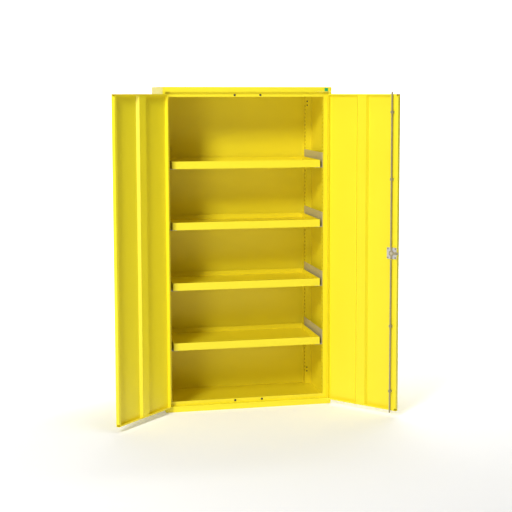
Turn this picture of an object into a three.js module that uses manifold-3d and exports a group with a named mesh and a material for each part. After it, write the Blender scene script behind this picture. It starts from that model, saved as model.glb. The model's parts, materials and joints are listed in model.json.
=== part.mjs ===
// Flammable storage cabinet: a folded sheet steel carcass, four lift-out spill trays on slotted posts,
// two pan doors on lift-off hinges, and a three-point lock on the right door.
// Millimetres. X to the right, -Y out of the front, +Z up. Origin: centre of the base, on the floor.
import * as THREE from 'three';
import { mergeVertices } from 'three/addons/utils/BufferGeometryUtils.js';
import Module from 'manifold-3d';

const wasm = await Module();
wasm.setup();

// ---------- driving dimensions ----------
const WIDTH = 1050;
const DEPTH = 550;
const HEIGHT = 2000;
const SHEET = 1.5;                 // thickness of every folded sheet
const GAP = 0.3;                   // air between pieces that rest on each other
const FASCIA = 30;                 // height of the rim around the top
const RECESS = 28;                 // how far the door stop plane lies behind the front
const STRIP = 17;                  // width of the upright strips beside the doors
const POST = 43;                   // from the outside of the cabinet to the inner face of a post
const SLOT = { pitch: 25, first: 102, count: 72, wide: 14, tall: 12 };
const TRAY = { first: 376, pitch: 375, count: 4, half: 465, front: -228, back: 250, tall: 46, floor: 14 };
const BASE = { flange: 60, floor: 11 };
const PLINTH = 35;
const DOOR = { thick: 22, bottom: 37, top: 1957, split: 2, reveal: 3, leftOpen: 133.8, rightOpen: 130.5 };
const LIP = { ends: 9, left: 18, right: 56 };
const STIFFENER = { from: 197, to: 284, rise: 16, fall: 10, tall: 18 };
const HINGE = { out: 7.5, in: 11.5, r: 6.5, half: 35, pin: 3, heights: [260, 997, 1734] };
const LOCK = { z: 1004, fromEdge: 35, wide: 66, tall: 68 };
const ROD = { wide: 8, thick: 6, layer: 11, top: 1972, bottom: 26, start: 39 };

const FRONT = -DEPTH / 2;
const BACK = DEPTH / 2;
const SIDE = WIDTH / 2;
const STOP = FRONT + RECESS;                 // door stop plane
const SKIRT = HEIGHT - FASCIA;               // underside of the top's rim
const POST_X = SIDE - POST;                  // inner face of the posts
const PIVOT_X = SIDE - HINGE.in;
const PIVOT_Y = FRONT - HINGE.out;
const LEAF_OUT = SIDE - STRIP - DOOR.reveal; // hinge edge of a closed door
const INNER = FRONT + DOOR.thick;            // inner plane of a closed door
const LOCK_X = DOOR.split + LOCK.fromEdge;   // lock and rod line on the closed right door
const REAR_POST_Y = 225;
const FRONT_SLOT_Y = -218;
const REAR_SLOT_Y = 238;

// ---------- materials ----------
const steel = (color, roughness, metalness) => new THREE.MeshStandardMaterial({ color, roughness, metalness });
const yellow = steel(0xf7e21c, 0.42, 0.0);
const zinc = steel(0xb9b4a2, 0.38, 0.9);
const nickel = steel(0xdcdbe2, 0.28, 0.9);
const darkSteel = steel(0x77756f, 0.4, 0.9);
const black = steel(0x1b1b1c, 0.55, 0.0);
const rubber = steel(0x2a2926, 0.8, 0.0);
const green = steel(0x1e8f57, 0.45, 0.0);

// ---------- solids: three.js shapes, joined and cut as closed meshes ----------
function solid(geometry) {
  const bare = geometry.index ? geometry.clone() : geometry;
  bare.deleteAttribute('normal');
  bare.deleteAttribute('uv');
  const merged = mergeVertices(bare, 1e-4);
  const vertProperties = new Float32Array(merged.attributes.position.array);
  const triVerts = new Uint32Array(merged.index.array);
  return new wasm.Manifold(new wasm.Mesh({ numProp: 3, vertProperties, triVerts }));
}

function geometryOf(manifold) {
  const mesh = manifold.getMesh();
  const geometry = new THREE.BufferGeometry();
  geometry.setAttribute('position', new THREE.BufferAttribute(new Float32Array(mesh.vertProperties), 3));
  geometry.setIndex(new THREE.BufferAttribute(new Uint32Array(mesh.triVerts), 1));
  const flat = geometry.toNonIndexed();
  flat.computeVertexNormals();
  return flat;
}

const join = (...parts) => parts.reduce((whole, part) => whole.add(part));
const cut = (whole, ...tools) => tools.reduce((rest, tool) => rest.subtract(tool), whole);

function box(x0, x1, y0, y1, z0, z1) {
  const shape = new THREE.BoxGeometry(Math.abs(x1 - x0), y1 - y0, z1 - z0);
  shape.translate((x0 + x1) / 2, (y0 + y1) / 2, (z0 + z1) / 2);
  return solid(shape);
}

function shaft(axis, r, centre, length, segments = 24) {
  const shape = new THREE.CylinderGeometry(r, r, length, segments);
  if (axis === 'z') shape.rotateX(Math.PI / 2);
  shape.translate(...centre);
  return solid(shape);
}

function prism(points, z0, z1) {
  const outline = new THREE.Shape(points.map(([x, y]) => new THREE.Vector2(x, y)));
  const shape = new THREE.ExtrudeGeometry(outline, { depth: z1 - z0, bevelEnabled: false });
  shape.translate(0, 0, z0);
  return solid(shape);
}

const cabinet = new THREE.Group();
function place(name, manifold, material, parent = cabinet) {
  const mesh = new THREE.Mesh(geometryOf(manifold), material);
  mesh.name = name;
  parent.add(mesh);
}

// Both sides of the cabinet are mirror images: side is -1 on the left and +1 on the right.
const SIDES = { left: -1, right: 1 };
const span = (side, a, b) => (side > 0 ? [a, b] : [-b, -a]);

// ---------- carcass ----------
function sidePanel(side) {
  const top = SKIRT - GAP;
  const skin = box(...span(side, SIDE - SHEET, SIDE), FRONT, BACK - SHEET - GAP, 0, top);
  const strip = box(...span(side, SIDE - STRIP, SIDE), FRONT, FRONT + SHEET, 0, top);
  const fold = box(...span(side, SIDE - STRIP, SIDE - STRIP + SHEET), FRONT, STOP + SHEET, 0, top);
  return join(skin, strip, fold);
}

function slots(side, y) {
  const rows = Array.from({ length: SLOT.count }, (_, i) => SLOT.first + i * SLOT.pitch);
  return rows.map((z) => box(...span(side, POST_X - 1, POST_X + SHEET + 1), y - SLOT.wide / 2, y + SLOT.wide / 2,
    z - SLOT.tall / 2, z + SLOT.tall / 2));
}

function frontPost(side) {
  const top = SKIRT - GAP;
  const reach = STOP + POST - 1;
  const foot = BASE.floor + GAP;
  const face = box(...span(side, POST_X, SIDE - STRIP - 1), STOP, STOP + SHEET, foot, top);
  const wall = box(...span(side, POST_X, POST_X + SHEET), STOP, reach, foot, top);
  const fold = box(...span(side, POST_X, POST_X + 18), reach - SHEET, reach, foot, top);
  return cut(join(face, wall, fold), join(...slots(side, FRONT_SLOT_Y)));
}

function rearPost(side) {
  const top = SKIRT - GAP;
  const end = BACK - SHEET - GAP;
  const foot = BASE.floor + GAP;
  const face = box(...span(side, POST_X, SIDE - SHEET - GAP), REAR_POST_Y, REAR_POST_Y + SHEET, foot, top);
  const wall = box(...span(side, POST_X, POST_X + SHEET), REAR_POST_Y, end, foot, top);
  const bolts = [98, 123, 1882, 1908].map((z) =>
    shaft('y', 5, [side * (POST_X + 12), REAR_POST_Y, z], 10, 12));
  return cut(join(face, wall), join(...slots(side, REAR_SLOT_Y)), ...bolts);
}

function topPanel() {
  const pan = box(-SIDE, SIDE, FRONT, BACK, SKIRT, HEIGHT);
  const hollow = box(-SIDE + SHEET, SIDE - SHEET, FRONT + SHEET, BACK - SHEET, SKIRT - 1, HEIGHT - SHEET);
  return cut(pan, hollow);
}

function topRail() {
  const half = POST_X - 0.5;
  const top = SKIRT - GAP;
  const stop = box(-half, half, STOP, STOP + SHEET, 1939, top);
  const web = box(-half, half, FRONT + SHEET + GAP, STOP + SHEET, top - SHEET, top);
  return join(stop, web);
}

function tray(half, front, back, z, tall, floor) {
  const outer = box(-half, half, front, back, z, z + tall);
  const well = box(-half + SHEET, half - SHEET, front + SHEET, back - SHEET, z + floor, z + tall + 1);
  const under = box(-half + SHEET, half - SHEET, front + SHEET, back - SHEET, z - 1, z + floor - SHEET);
  return cut(outer, well, under);
}

function basePan() {
  const half = POST_X - 0.5;
  const wide = SIDE - SHEET - GAP;
  const under = BASE.floor - SHEET;
  const flange = box(-half, half, STOP, STOP + SHEET, 0, BASE.flange);
  const lead = box(-half, half, STOP, STOP + SHEET + 1, under, BASE.floor);
  const floor = box(-wide, wide, STOP + SHEET + GAP, BACK - SHEET - GAP, under, BASE.floor);
  return join(flange, lead, floor);
}

function plinth() {
  const half = SIDE - STRIP - 1;
  const face = box(-half, half, FRONT, FRONT + SHEET, 0, PLINTH);
  const web = box(-half, half, FRONT, STOP - GAP, PLINTH - SHEET, PLINTH);
  return join(face, web);
}

function baseChannel() {
  const top = BASE.floor - SHEET - GAP;
  return cut(box(-70, 70, -230, 250, 0, top), box(-70 + SHEET, 70 - SHEET, -231, 251, SHEET, top + 1));
}

function bracket(side, z) {
  const inner = POST_X - GAP - SHEET;
  const web = box(...span(side, inner, inner + SHEET), -226, 250, z - 0.6 - SHEET, z + 91);
  const ledge = box(...span(side, inner - 42, inner + SHEET), -226, 250, z - 0.6 - SHEET, z - 0.6);
  const hooks = [FRONT_SLOT_Y, REAR_SLOT_Y].flatMap((y) => [24.3, 74.3].map((up) =>
    box(...span(side, inner + 0.5, POST_X + SHEET + 1.8), y - 5, y + 5, z + up - 4, z + up + 4)));
  return join(web, ledge, ...hooks);
}

for (const [name, side] of Object.entries(SIDES)) {
  place(`side_panel_${name}`, sidePanel(side), yellow);
  place(`post_front_${name}`, frontPost(side), yellow);
  place(`post_rear_${name}`, rearPost(side), yellow);
}
place('back_panel', box(-SIDE + SHEET + GAP, SIDE - SHEET - GAP, BACK - SHEET, BACK, 0, SKIRT - GAP), yellow);
place('top_panel', topPanel(), yellow);
place('top_rail', topRail(), yellow);
place('base_pan', basePan(), yellow);
place('front_plinth', plinth(), yellow);
place('base_channel', baseChannel(), zinc);
place('badge_blank', box(480, 502, FRONT - GAP - 1, FRONT - GAP, 1974, 1994), green);

for (let level = 1; level <= TRAY.count; level += 1) {
  const z = TRAY.first + (level - 1) * TRAY.pitch;
  place(`tray_${level}`, tray(TRAY.half, TRAY.front, TRAY.back, z, TRAY.tall, TRAY.floor), yellow);
  for (const [name, side] of Object.entries(SIDES)) {
    place(`tray_bracket_${level}_${name}`, bracket(side, z), zinc);
  }
}

const buffers = { top: { x: 80, z: 1950 }, bottom: { x: 85, z: 48 } };
for (const [end, at] of Object.entries(buffers)) {
  for (const [name, side] of Object.entries(SIDES)) {
    place(`buffer_${end}_${name}`, shaft('y', 7, [side * at.x, STOP - GAP - 2.25, at.z], 4.5, 16), rubber);
  }
}

// ---------- doors ----------
// A door's group has its origin on the hinge axis, so the group's turn opens the door.
function doorGroup(side, openDegrees) {
  const group = new THREE.Group();
  group.position.set(side * PIVOT_X, PIVOT_Y, 0);
  group.rotation.z = side * THREE.MathUtils.degToRad(openDegrees);
  cabinet.add(group);
  return (name, manifold, material) =>
    place(name, manifold.translate([-side * PIVOT_X, -PIVOT_Y, 0]), material, group);
}

function leaf(side, closingLip, ...holes) {
  const { split, bottom, top } = DOOR;
  const shell = box(...span(side, split, LEAF_OUT), FRONT, INNER, bottom, top);
  const cavity = box(...span(side, split + SHEET, LEAF_OUT - SHEET), FRONT + SHEET, INNER - SHEET,
    bottom + SHEET, top - SHEET);
  const window = box(...span(side, split + closingLip, LEAF_OUT - SHEET), INNER - SHEET - 1, INNER + 1,
    bottom + LIP.ends, top - LIP.ends);
  const notches = [bottom + 1, top - 13].map((z) =>
    box(...span(side, split - 1, split + 12), FRONT + 7, INNER + 1, z, z + 12));
  return cut(shell, cavity, window, ...notches, ...holes);
}

function stiffener(side) {
  const { from, to, rise, fall, tall } = STIFFENER;
  const foot = FRONT + SHEET + GAP;
  const crown = foot + tall;
  const outline = (inset, low, high) => [
    [side * (LEAF_OUT - from - inset), low],
    [side * (LEAF_OUT - from - rise - inset * 0.4), high],
    [side * (LEAF_OUT - to + fall + inset * 0.4), high],
    [side * (LEAF_OUT - to + inset), low],
  ];
  const bottom = DOOR.bottom + SHEET + GAP;
  const top = DOOR.top - SHEET - GAP;
  const outer = prism(outline(0, foot, crown), bottom, top);
  const inner = prism(outline(SHEET * 1.6, foot - 0.01, crown - SHEET), bottom - 1, top + 1);
  return cut(outer, inner);
}

function carcassHinge(side, z) {
  const x = side * PIVOT_X;
  const barrel = shaft('z', HINGE.r, [x, PIVOT_Y, z - HINGE.half / 2 - 0.25], HINGE.half - 0.5);
  const flag = box(x - 5.5, x + 5.5, PIVOT_Y, FRONT - GAP, z - HINGE.half, z - 0.5);
  const pin = shaft('z', HINGE.pin, [x, PIVOT_Y, z + 8], 40, 16);
  return join(barrel, flag, pin);
}

function doorHinge(side, z) {
  const x = side * PIVOT_X;
  const barrel = shaft('z', HINGE.r, [x, PIVOT_Y, z + HINGE.half / 2], HINGE.half);
  const web = box(...span(side, LEAF_OUT - 7, PIVOT_X - 3), PIVOT_Y + 1, FRONT - GAP, z, z + HINGE.half);
  const plate = box(...span(side, LEAF_OUT - 62, LEAF_OUT - 2), FRONT - GAP - 2.5, FRONT - GAP, z, z + HINGE.half);
  const bore = shaft('z', HINGE.pin + 0.3, [x, PIVOT_Y, z + 14], 30, 16);
  return cut(join(barrel, web, plate), bore);
}

const openings = { left: DOOR.leftOpen, right: DOOR.rightOpen };
const lockHole = shaft('y', 7.5, [LOCK_X, FRONT, LOCK.z], 60);
const doorPlace = {};
for (const [name, side] of Object.entries(SIDES)) {
  const put = doorGroup(side, openings[name]);
  doorPlace[name] = put;
  put(`door_leaf_${name}`, side > 0 ? leaf(side, LIP.right, lockHole) : leaf(side, LIP.left), yellow);
  put(`door_stiffener_${name}`, stiffener(side), yellow);
  HINGE.heights.forEach((z, i) => {
    place(`hinge_${i + 1}_${name}_carcass_half`, carcassHinge(side, z), yellow);
    put(`hinge_${i + 1}_${name}_door_half`, doorHinge(side, z), yellow);
  });
}

// ---------- three-point lock on the right door ----------
const put = doorPlace.right;

function lockHousing() {
  const face = INNER + GAP;
  const plate = box(LOCK_X - LOCK.wide / 2, LOCK_X + LOCK.wide / 2, face, face + 6, LOCK.z - LOCK.tall / 2,
    LOCK.z + LOCK.tall / 2);
  const recess = box(DOOR.split + LIP.right + 1, LOCK_X + LOCK.wide / 2 - 3, FRONT + SHEET + GAP, face + 1,
    LOCK.z - 26, LOCK.z + 26);
  const screws = [-1, 1].flatMap((a) => [-1, 1].map((b) =>
    shaft('y', 3.2, [LOCK_X + a * 26, face + 6, LOCK.z + b * 27], 5, 12)));
  return cut(join(plate, recess), lockHole, ...screws);
}

function lockCam() {
  const low = INNER + GAP + 6 + GAP;
  const high = low + 3.4;
  const hub = shaft('y', 17, [LOCK_X, (low + high) / 2, LOCK.z], high - low, 32);
  const arms = box(LOCK_X - 6, LOCK_X + 6, low, high, LOCK.z - 37, LOCK.z + 37);
  const tongue = box(DOOR.split - 12, LOCK_X, low, high, LOCK.z - 8, LOCK.z + 8);
  const bore = shaft('y', 5.3, [LOCK_X, low, LOCK.z], 20);
  return cut(join(hub, arms, tongue), bore);
}

function spindle() {
  const from = FRONT - 9.1;
  const to = INNER + 9.8;
  return shaft('y', 5, [LOCK_X, (from + to) / 2, LOCK.z], to - from);
}

function escutcheon() {
  const plate = box(LOCK_X - 24, LOCK_X + 24, FRONT - GAP - 4, FRONT - GAP, LOCK.z - 62, LOCK.z + 62);
  return cut(plate, lockHole);
}

function handle() {
  const base = FRONT - GAP - 4 - GAP;
  const hub = shaft('y', 22, [LOCK_X, base - 4, LOCK.z], 8, 32);
  const wing = [];
  for (let i = 0; i < 24; i += 1) {
    const a = (i / 24) * Math.PI * 2;
    const middle = Math.sin(a) >= 0 ? 1 : -1;
    wing.push([Math.cos(a) * 11, Math.sin(a) * 11 + middle * 34]);
  }
  const outline = new THREE.Shape(wing.map(([x, z]) => new THREE.Vector2(x, z)));
  const grip = new THREE.ExtrudeGeometry(outline, { depth: 26, bevelEnabled: false });
  grip.rotateX(Math.PI / 2);
  grip.translate(LOCK_X, base - 4, LOCK.z);
  const key = shaft('y', 8.3, [LOCK_X, base - 28, LOCK.z], 16);
  const socket = shaft('y', 5.3, [LOCK_X, base, LOCK.z], 9.6);
  return cut(join(hub, solid(grip)), key, socket);
}

function lockCylinder() {
  const face = FRONT - GAP - 4 - GAP - 30;
  const barrel = shaft('y', 8, [LOCK_X, face + 4.8, LOCK.z], 9.6);
  return cut(barrel, box(LOCK_X - 0.9, LOCK_X + 0.9, face - 1, face + 4, LOCK.z - 4.5, LOCK.z + 4.5));
}

const rodLayer = [INNER + ROD.layer, INNER + ROD.layer + ROD.thick];
const rod = (z0, z1) => box(LOCK_X - ROD.wide / 2, LOCK_X + ROD.wide / 2, ...rodLayer, z0, z1);

function rodGuide(z) {
  const block = box(LOCK_X - 8, LOCK_X + 8, INNER + GAP, rodLayer[1] + 2, z - 7, z + 7);
  const way = box(LOCK_X - ROD.wide / 2 - 0.5, LOCK_X + ROD.wide / 2 + 0.5, rodLayer[0] - 0.5, rodLayer[1] + 0.5,
    z - 8, z + 8);
  return cut(block, way);
}

put('lock_housing', lockHousing(), nickel);
put('lock_cam', lockCam(), darkSteel);
put('lock_spindle', spindle(), darkSteel);
put('handle_escutcheon', escutcheon(), black);
put('handle_wing', handle(), black);
put('lock_cylinder', lockCylinder(), nickel);
put('lock_rod_upper', rod(LOCK.z + ROD.start, ROD.top), darkSteel);
put('lock_rod_lower', rod(ROD.bottom, LOCK.z - ROD.start), darkSteel);
[160, 560, 1450, 1850].forEach((z, i) => put(`rod_guide_${i + 1}`, rodGuide(z), darkSteel));

export default cabinet;
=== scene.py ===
import json
import math
import bmesh
import bpy
from mathutils import Matrix, Vector


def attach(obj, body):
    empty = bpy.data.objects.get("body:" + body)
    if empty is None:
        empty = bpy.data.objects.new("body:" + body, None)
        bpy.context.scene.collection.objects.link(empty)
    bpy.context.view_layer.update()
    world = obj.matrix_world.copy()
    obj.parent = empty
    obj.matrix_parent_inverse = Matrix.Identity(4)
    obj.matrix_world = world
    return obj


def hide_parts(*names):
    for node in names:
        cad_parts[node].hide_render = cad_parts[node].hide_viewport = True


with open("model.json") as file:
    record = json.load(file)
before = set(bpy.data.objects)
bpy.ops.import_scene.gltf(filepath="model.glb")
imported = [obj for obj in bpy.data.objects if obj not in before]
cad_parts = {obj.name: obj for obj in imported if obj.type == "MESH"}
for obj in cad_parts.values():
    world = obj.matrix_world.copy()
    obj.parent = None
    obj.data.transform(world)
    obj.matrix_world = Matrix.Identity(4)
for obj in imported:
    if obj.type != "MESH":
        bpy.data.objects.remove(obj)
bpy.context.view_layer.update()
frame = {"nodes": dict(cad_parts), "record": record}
nodes = frame["nodes"]

MM = 0.001
PIVOT_X = 513.5
PIVOT_Y = -282.5
OPEN = {"left": 133.8, "right": 130.5}
SIDES = {"left": -1, "right": 1}
LOCK_X = 37.0
LOCK_Z = 1004.0
GUIDES = (160, 560, 1450, 1850)
HINGES = (260, 997, 1734)
HINGE_HALF = 35
TRAY = {"count": 4, "first": 376, "pitch": 375, "half": 465, "front": -228, "back": 250, "tall": 46}
BUFFERS = {"top": (80, 1950), "bottom": (85, 48)}
BUFFER_Y = -247.3
HINGE_PLATE_EDGE = 505
HINGE_PLATE_FACE = -277.8
HINGE_SCREW_BACK = (14, 32, 50)
HINGE_SCREW_RISE = 17.5
PLATE_SCREW_X = (-26, 26)
PLATE_SCREW_Z = (-27, 27)
PLATE_SCREW_Y = -249.1
PLATE_FACE = -246.7
CAM_FACE = -243.0
GUIDE_FACE = -234.0
GUIDE_RIVET_X = (-6.3, 6.3)
ESCUTCHEON_FACE = -279.3
ESCUTCHEON_SCREW_Z = (-53, 53)
# Painted shade: dark sheets inside the posts, behind the slot columns, standing in for the shade in the
# hollow posts.
SHADE_SHEET_X = (486.2, 487.0)
SHADE_SHEET_Y = {"front": (-227.0, -208.0), "rear": (228.5, 272.5)}
SHADE_SHEET_Z = (40, 1960)
BOLT_X = 495
BOLT_FACE = 226.8
BOLT_HEIGHTS = (98, 123, 1882, 1908)
BACK_RIVET_X = 500
BACK_RIVET_HEIGHTS = (60, 520, 980, 1440, 1900)
BACK_FACE = 275.0
PIN_HEAD = [(5.2, 0), (5.2, 0.5), (4.3, 1.3), (2.2, 1.9), (0, 2.1)]
BUFFER_DOME = [(0, 0), (6.4, 0), (6.8, 0.5), (6.6, 1.6), (5.6, 3.2), (3.8, 4.1), (1.9, 4.4), (0, 4.45)]


# ---------------------------------------------------------------- materials
def material(name, color, rough, metal, variation, scale, bump, bump_scale, coat=0.0):
    """A procedural finish: slow tonal variation in colour and roughness, and a fine surface texture."""
    m = bpy.data.materials.new(name)
    m.use_nodes = True
    tree = m.node_tree
    bsdf = tree.nodes["Principled BSDF"]
    bsdf.inputs["Metallic"].default_value = metal
    bsdf.inputs["Roughness"].default_value = rough
    bsdf.inputs["Coat Weight"].default_value = coat
    coord = tree.nodes.new("ShaderNodeTexCoord")
    slow = tree.nodes.new("ShaderNodeTexNoise")
    slow.inputs["Scale"].default_value = scale
    slow.inputs["Detail"].default_value = 3.0
    tree.links.new(coord.outputs["Object"], slow.inputs["Vector"])
    ramp = tree.nodes.new("ShaderNodeValToRGB")
    dark = tuple(c * (1 - variation) for c in color)
    ramp.color_ramp.elements[0].position = 0.35
    ramp.color_ramp.elements[0].color = (*dark, 1)
    ramp.color_ramp.elements[1].position = 0.65
    ramp.color_ramp.elements[1].color = (*color, 1)
    tree.links.new(slow.outputs["Fac"], ramp.inputs["Fac"])
    tree.links.new(ramp.outputs["Color"], bsdf.inputs["Base Color"])
    span = tree.nodes.new("ShaderNodeMapRange")
    span.inputs["To Min"].default_value = rough * 0.88
    span.inputs["To Max"].default_value = min(1.0, rough * 1.12)
    tree.links.new(slow.outputs["Fac"], span.inputs["Value"])
    tree.links.new(span.outputs["Result"], bsdf.inputs["Roughness"])
    fine = tree.nodes.new("ShaderNodeTexNoise")
    fine.inputs["Scale"].default_value = bump_scale
    fine.inputs["Detail"].default_value = 2.0
    tree.links.new(coord.outputs["Object"], fine.inputs["Vector"])
    relief = tree.nodes.new("ShaderNodeBump")
    relief.inputs["Strength"].default_value = bump
    relief.inputs["Distance"].default_value = 0.0004
    tree.links.new(fine.outputs["Fac"], relief.inputs["Height"])
    tree.links.new(relief.outputs["Normal"], bsdf.inputs["Normal"])
    return m


def spangle(name, color, rough):
    """Galvanised sheet: flat grains that each catch the light a little differently."""
    m = material(name, color, rough, 0.35, 0.08, 40.0, 0.05, 600.0)
    tree = m.node_tree
    bsdf = tree.nodes["Principled BSDF"]
    coord = tree.nodes["Texture Coordinate"]
    grains = tree.nodes.new("ShaderNodeTexVoronoi")
    grains.inputs["Scale"].default_value = 140.0
    tree.links.new(coord.outputs["Object"], grains.inputs["Vector"])
    ramp = tree.nodes.new("ShaderNodeValToRGB")
    ramp.color_ramp.elements[0].color = (*[c * 0.86 for c in color], 1)
    ramp.color_ramp.elements[1].color = (*color, 1)
    tree.links.new(grains.outputs["Color"], ramp.inputs["Fac"])
    tree.links.new(ramp.outputs["Color"], bsdf.inputs["Base Color"])
    return m


MATERIALS = {
    "powder_yellow": material("powder_yellow", (0.97, 0.825, 0.022), 0.4, 0.0, 0.02, 2.5, 0.12, 900.0),
    "galvanised": spangle("galvanised", (0.62, 0.58, 0.46), 0.5),
    # Painted shade and painted reflection: the galvanised rods and guides get a darker, olive-brown steel
    # colour, as they look in shade with the yellow doors reflected in them.
    "dark_steel": material("dark_steel", (0.42, 0.37, 0.24), 0.42, 0.45, 0.12, 50.0, 0.06, 900.0),
    "zinc_white": material("zinc_white", (0.80, 0.79, 0.84), 0.3, 0.75, 0.06, 60.0, 0.05, 900.0),
    "black_plastic": material("black_plastic", (0.022, 0.022, 0.024), 0.5, 0.0, 0.15, 30.0, 0.25, 1500.0),
    "rubber": material("rubber", (0.05, 0.05, 0.046), 0.8, 0.0, 0.2, 80.0, 0.3, 1200.0),
    "badge_green": material("badge_green", (0.02, 0.42, 0.14), 0.35, 0.0, 0.08, 120.0, 0.1, 900.0, coat=0.3),
}
# Painted shade: a near-black finish for pieces that stand in for the shade inside hollows and recesses.
SHADOW = material("shadow_recess", (0.03, 0.028, 0.02), 0.85, 0.0, 0.2, 60.0, 0.2, 900.0)


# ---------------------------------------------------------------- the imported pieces
slot_of = {s["node"]: s["material_slot"] for s in frame["record"]["subparts"]}
SOFT_EDGE = {
    "powder_yellow": 0.5,
    "galvanised": 0.3,
    "zinc_white": 0.4,
    "dark_steel": 0.4,
    "black_plastic": 1.6,
    "rubber": 0.8,
    "badge_green": 0.4,
}
for name, obj in nodes.items():
    kind = slot_of[name]
    obj.data.materials.clear()
    obj.data.materials.append(MATERIALS[kind])
    bevel = obj.modifiers.new("soft_edges", "BEVEL")
    bevel.width = SOFT_EDGE[kind] * MM
    bevel.segments = 3 if kind == "black_plastic" else 2
    bevel.limit_method = "ANGLE"
    bevel.angle_limit = math.radians(40)
    bevel.use_clamp_overlap = True
    bevel.harden_normals = True


# ------------------------------------------------- added detail, in closed-door millimetres
def closed_to_open(side):
    """Turns a door's pieces about its hinge line, from closed to the opening it has at rest."""
    pivot = Matrix.Translation((side * PIVOT_X, PIVOT_Y, 0))
    name = "right" if side > 0 else "left"
    return pivot @ Matrix.Rotation(math.radians(side * OPEN[name]), 4, "Z") @ pivot.inverted()


def finish_piece(name, bm, kind, body, side=0):
    """Turns a bmesh in millimetres into a named piece that rides on a body."""
    if side:
        bm.transform(closed_to_open(side))
    bm.transform(Matrix.Scale(MM, 4))
    bmesh.ops.recalc_face_normals(bm, faces=bm.faces[:])
    data = bpy.data.meshes.new(name)
    bm.to_mesh(data)
    bm.free()
    for poly in data.polygons:
        poly.use_smooth = True
    data.set_sharp_from_angle(angle=math.radians(35))
    obj = bpy.data.objects.new(name, data)
    bpy.context.scene.collection.objects.link(obj)
    if kind == "shadow_recess":
        data.materials.append(SHADOW)
    else:
        data.materials.append(MATERIALS[kind])
    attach(obj, body)
    return obj


def lathe(bm, profile, at, facing, n=28):
    """Turns (radius, height) points about the direction `facing`, standing at `at`."""
    turn = Vector(facing).to_track_quat("Z", "Y").to_matrix().to_4x4()
    place = Matrix.Translation(at) @ turn
    rings = []
    for r, h in profile:
        if r < 1e-6:
            rings.append([bm.verts.new(place @ Vector((0, 0, h)))])
            continue
        rings.append([
            bm.verts.new(place @ Vector((r * math.cos(a), r * math.sin(a), h)))
            for a in (2 * math.pi * i / n for i in range(n))
        ])
    for low, high in zip(rings, rings[1:]):
        for i in range(n):
            j = (i + 1) % n
            quad = [low[i % len(low)], low[j % len(low)], high[j % len(high)], high[i % len(high)]]
            corners = list(dict.fromkeys(quad))
            if len(corners) > 2:
                bm.faces.new(corners)


def screw(bm, at, facing, r=2.9, tall=1.4):
    """A cross-recess screw head: a shallow dome whose middle sinks into a four-pointed recess."""
    turn = Vector(facing).to_track_quat("Z", "Y").to_matrix().to_4x4()
    place = Matrix.Translation(at) @ turn
    n = 32
    rings = []
    for k, (f, h) in enumerate(((1.0, 0.0), (1.0, 0.35), (0.86, 0.8), (0.66, 1.0), (0.0, 0.0), (0.0, -0.5))):
        ring = []
        for i in range(n):
            a = 2 * math.pi * i / n
            star = 0.16 + 0.34 * abs(math.cos(2 * a)) ** 3
            rad = r * (f if k < 4 else (star if k == 4 else star * 0.6))
            high = tall * (h if k < 4 else (1.0 if k == 4 else 0.2))
            ring.append(bm.verts.new(place @ Vector((rad * math.cos(a), rad * math.sin(a), high))))
        rings.append(ring)
    for low, high in zip(rings, rings[1:]):
        for i in range(n):
            j = (i + 1) % n
            bm.faces.new((low[i], low[j], high[j], high[i]))
    bm.faces.new(rings[-1])


def sweep_box(bm, corners, r, n=8):
    """A round bead that follows a closed loop of corner points."""
    count = len(corners)
    loops = []
    for k in range(count):
        before, here, after = corners[k - 1], corners[k], corners[(k + 1) % count]
        a = (Vector(here) - Vector(before)).normalized()
        b = (Vector(after) - Vector(here)).normalized()
        along = (a + b).normalized()
        up = Vector((0, 0, 1))
        across = along.cross(up).normalized()
        widen = 1 / max(0.3, along.dot(b))
        loops.append([
            bm.verts.new(Vector(here) + across * (r * widen * math.cos(t)) + up * (r * math.sin(t)))
            for t in (2 * math.pi * i / n for i in range(n))
        ])
    for k in range(count):
        low, high = loops[k], loops[(k + 1) % count]
        for i in range(n):
            j = (i + 1) % n
            bm.faces.new((low[i], low[j], high[j], high[i]))


def tray_hems():
    """A rounded hem along each tray's rim."""
    inset = 1.9
    side = TRAY["half"] - inset
    front = TRAY["front"] + inset
    back = TRAY["back"] - inset
    for level in range(1, TRAY["count"] + 1):
        z = TRAY["first"] + (level - 1) * TRAY["pitch"] + TRAY["tall"] - 1.5
        bm = bmesh.new()
        sweep_box(bm, [(-side, front, z), (side, front, z), (side, back, z), (-side, back, z)], 1.45)
        finish_piece(f"tray_{level}_hem", bm, "powder_yellow", f"spill_tray_{level}")


def buffers():
    """Domed rubber buffers on the stop flanges."""
    for end, (x, z) in BUFFERS.items():
        for name, side in SIDES.items():
            bm = bmesh.new()
            lathe(bm, BUFFER_DOME, (side * x, BUFFER_Y, z), (0, -1, 0))
            piece = finish_piece(f"buffer_dome_{end}_{name}", bm, "rubber", "carcass")
            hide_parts(f"buffer_{end}_{name}")


def hinge_details():
    """Pin heads at both ends of each hinge, and screws through its door plate."""
    for name, side in SIDES.items():
        for i, z in enumerate(HINGES, 1):
            cap = bmesh.new()
            lathe(cap, PIN_HEAD, (side * PIVOT_X, PIVOT_Y, z + HINGE_HALF), (0, 0, 1))
            finish_piece(f"hinge_{i}_{name}_cap", cap, "powder_yellow", f"{name}_door", side)
            foot = bmesh.new()
            lathe(foot, PIN_HEAD, (side * PIVOT_X, PIVOT_Y, z - HINGE_HALF), (0, 0, -1))
            finish_piece(f"hinge_{i}_{name}_foot", foot, "powder_yellow", "carcass")
            screws = bmesh.new()
            for back in HINGE_SCREW_BACK:
                x = side * (HINGE_PLATE_EDGE - back)
                screw(screws, (x, HINGE_PLATE_FACE, z + HINGE_SCREW_RISE), (0, -1, 0), 3.4, 1.2)
            finish_piece(f"hinge_{i}_{name}_screws", screws, "galvanised", f"{name}_door", side)


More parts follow.
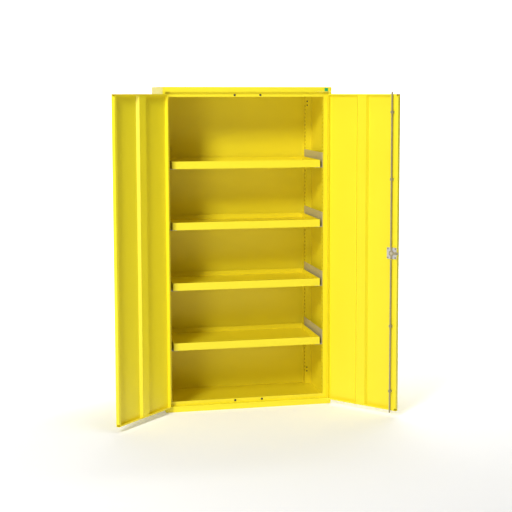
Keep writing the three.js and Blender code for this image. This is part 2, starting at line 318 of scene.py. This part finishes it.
def lock_details():
    """Screws sunk in the lock plate's corner recesses, dark rings of painted shade round them in the
    recesses, and a washer on the spindle.
    """
    corners = [(LOCK_X + a, LOCK_Z + b) for a in PLATE_SCREW_X for b in PLATE_SCREW_Z]
    bm = bmesh.new()
    for x, z in corners:
        screw(bm, (x, PLATE_SCREW_Y, z), (0, 1, 0), 2.9, 1.6)
    finish_piece("lock_plate_screws", bm, "galvanised", "right_door", 1)
    # Painted shade: dark rings round the screws, standing in for the shade in the corner recesses.
    bm = bmesh.new()
    for x, z in corners:
        lathe(bm, [(3.25, 0), (3.25, 0.25), (4.6, 0.25), (4.9, 0.1), (4.9, 0)], (x, PLATE_FACE, z), (0, 1, 0))
    finish_piece("lock_plate_recess_shade", bm, "shadow_recess", "right_door", 1)
    bm = bmesh.new()
    lathe(bm, [(5.0, 0), (9.2, 0), (9.4, 0.3), (9.2, 0.7), (5.3, 0.7), (5.0, 0.5), (0, 0.5)],
          (LOCK_X, CAM_FACE, LOCK_Z), (0, 1, 0))
    finish_piece("cam_washer", bm, "galvanised", "handle", 1)


def post_hollow_shade():
    """Painted shade in the posts' hollows: dark sheets behind the slots and dark discs behind the bolt holes,
    standing in for the shade seen through them.
    """
    for name, side in SIDES.items():
        for where, (y0, y1) in SHADE_SHEET_Y.items():
            bm = bmesh.new()
            x0, x1 = (side * x for x in SHADE_SHEET_X)
            outline = ((x0, y0), (x1, y0), (x1, y1), (x0, y1))
            low = [bm.verts.new((x, y, SHADE_SHEET_Z[0])) for x, y in outline]
            high = [bm.verts.new((v.co.x, v.co.y, SHADE_SHEET_Z[1])) for v in low]
            bm.faces.new(low)
            bm.faces.new(high)
            for i in range(4):
                j = (i + 1) % 4
                bm.faces.new((low[i], low[j], high[j], high[i]))
            finish_piece(f"post_painted_shade_{where}_{name}", bm, "shadow_recess", "carcass")
        # Painted shade: dark discs behind the bolt holes, standing in for the shade inside the posts.
        bm = bmesh.new()
        for z in BOLT_HEIGHTS:
            lathe(bm, [(7.5, 0), (7.5, 1.0), (0, 1.0)], (side * BOLT_X, BOLT_FACE, z), (0, 1, 0), 20)
        finish_piece(f"post_bolt_shadow_{name}", bm, "shadow_recess", "carcass")


def guide_rivets():
    """Two rivets in each rod guide."""
    for i, z in enumerate(GUIDES, 1):
        bm = bmesh.new()
        for a in GUIDE_RIVET_X:
            lathe(bm, [(1.2, 0), (1.2, 0.2), (0.9, 0.5), (0.5, 0.7), (0, 0.75)], (LOCK_X + a, GUIDE_FACE, z),
                  (0, 1, 0), 16)
        finish_piece(f"rod_guide_{i}_rivets", bm, "dark_steel", "right_door", 1)


def escutcheon_details():
    """A collar round the handle's hub, and two cover screws on the escutcheon."""
    bm = bmesh.new()
    lathe(bm, [(22.1, 0), (23.4, 0), (23.4, 1.2), (22.8, 2.0), (22.1, 2.0)],
          (LOCK_X, ESCUTCHEON_FACE, LOCK_Z), (0, -1, 0), 40)
    finish_piece("escutcheon_collar", bm, "black_plastic", "right_door", 1)
    bm = bmesh.new()
    for b in ESCUTCHEON_SCREW_Z:
        screw(bm, (LOCK_X, ESCUTCHEON_FACE, LOCK_Z + b), (0, -1, 0), 3.2, 1.2)
    finish_piece("escutcheon_screws", bm, "galvanised", "right_door", 1)


def back_rivets():
    """Flush rivets that join the back sheet to the rear posts."""
    bm = bmesh.new()
    for side in SIDES.values():
        for z in BACK_RIVET_HEIGHTS:
            lathe(bm, [(4.2, -0.2), (4.2, 0.0), (3.2, -0.05), (0, -0.08)],
                  (side * BACK_RIVET_X, BACK_FACE, z), (0, 1, 0), 20)
    finish_piece("back_sheet_rivets", bm, "galvanised", "carcass")


tray_hems()
buffers()
hinge_details()
lock_details()
post_hollow_shade()
guide_rivets()
escutcheon_details()
back_rivets()


# ---------------------------------------------------------------- studio
def studio_surface():
    """A pale floor that sweeps up into a backdrop."""
    points = [(-14.0, 0.0), (7.0, 0.0)]
    for i in range(1, 13):
        a = math.radians(90 * i / 12)
        points.append((7.0 + 4.0 * math.sin(a), 4.0 - 4.0 * math.cos(a)))
    points.append((11.0, 16.0))
    bm = bmesh.new()
    rows = [[bm.verts.new((x, y, z - 0.0005)) for x in (-22.0, 22.0)] for y, z in points]
    for low, high in zip(rows, rows[1:]):
        bm.faces.new((low[0], low[1], high[1], high[0]))
    data = bpy.data.meshes.new("studio_floor")
    bm.to_mesh(data)
    bm.free()
    for poly in data.polygons:
        poly.use_smooth = True
    obj = bpy.data.objects.new("studio_floor", data)
    bpy.context.scene.collection.objects.link(obj)
    white = material("studio_white", (0.93, 0.93, 0.93), 0.9, 0.0, 0.01, 0.4, 0.02, 60.0)
    glow = white.node_tree.nodes["Principled BSDF"]
    glow.inputs["Emission Color"].default_value = (1.0, 1.0, 1.0, 1)
    glow.inputs["Emission Strength"].default_value = 0.16
    data.materials.append(white)


studio_surface()


def area(name, where, target, size, watts):
    """A square white area light at `where`, aimed at `target`."""
    data = bpy.data.lights.new(name, "AREA")
    data.shape = "SQUARE"
    data.size = size
    data.energy = watts
    obj = bpy.data.objects.new(name, data)
    obj.location = where
    obj.rotation_euler = (Vector(target) - Vector(where)).to_track_quat("-Z", "Y").to_euler()
    bpy.context.scene.collection.objects.link(obj)


area("key_light", (-4.4, -6.6, 5.2), (0.2, 0.0, 1.0), 1.6, 450)
area("low_light", (-4.2, -7.0, 1.5), (0.2, 0.0, 0.9), 1.6, 75)
area("top_light", (0.3, -1.6, 7.0), (0.0, 0.0, 1.0), 1.5, 90)
area("backdrop_light", (3.0, 3.6, 8.0), (3.0, 11.0, 2.0), 6.0, 1200)

world = bpy.data.worlds.new("studio_world")
world.use_nodes = True
world.node_tree.nodes["Background"].inputs["Color"].default_value = (1.0, 1.0, 1.0, 1)
world.node_tree.nodes["Background"].inputs["Strength"].default_value = 0.09
bpy.context.scene.world = world
bpy.context.scene.view_settings.view_transform = "Standard"

camera = bpy.data.cameras.new("camera")
camera.lens = 85.30
camera.sensor_width = 36.0
camera.shift_x = -0.0643
camera.shift_y = -0.0734
camera_object = bpy.data.objects.new("camera", camera)
camera_object.location = (-1.4435, -7.5746, 1.9649)
camera_object.rotation_euler = (math.radians(84.08), 0.0, math.radians(-13.09))
bpy.context.scene.collection.objects.link(camera_object)
bpy.context.scene.camera = camera_object
